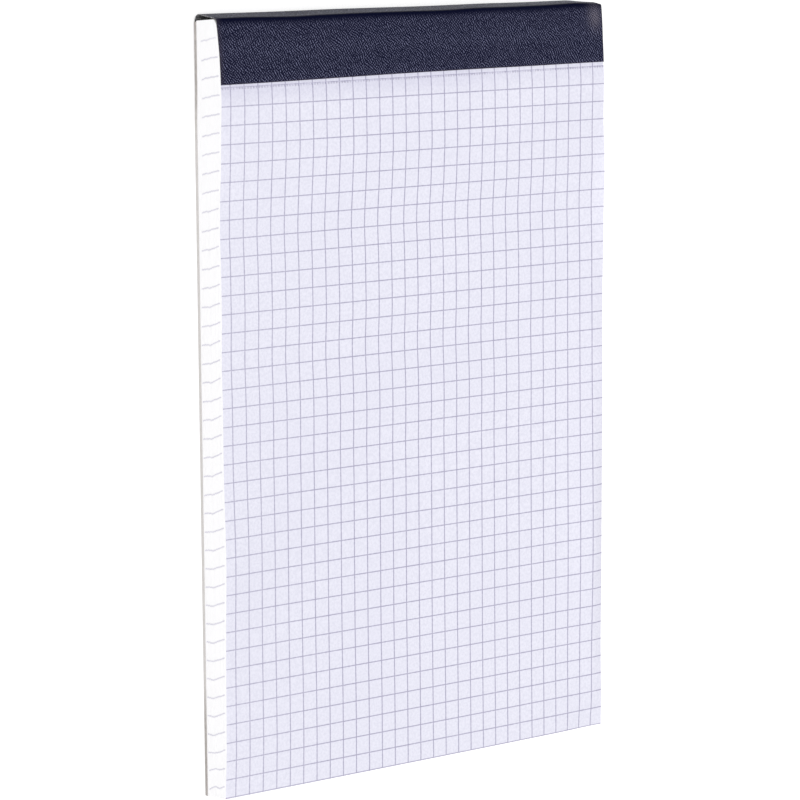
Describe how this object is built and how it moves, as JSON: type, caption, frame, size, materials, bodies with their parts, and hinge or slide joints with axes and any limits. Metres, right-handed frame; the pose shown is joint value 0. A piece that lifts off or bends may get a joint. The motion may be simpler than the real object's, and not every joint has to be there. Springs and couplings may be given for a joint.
{
  "type": "notepad",
  "caption": "Squared writing pad with perforated sheets and a grey back board, stapled at the head under a folded leather-grain strip.",
  "frame": {"origin": "under the middle of the pad, on the surface that its back board lies on", "axes": "+X to the right-hand edge of the front page, +Y to the bound head, +Z out of the front page"},
  "size_m": [0.148, 0.2094, 0.0106],
  "materials": {
    "paper": "matt white sheets with a pale lavender 5 mm squared ruling",
    "greyboard": "uncoated grey pulp board",
    "leatherette": "navy embossed leather-grain paper, low sheen",
    "staple_wire": "bright drawn wire"
  },
  "bodies": {
    "root": {"page_block": "paper", "back_board": "greyboard", "head_strip": "leatherette", "staples": "staple_wire"}
  },
  "joints": []
}
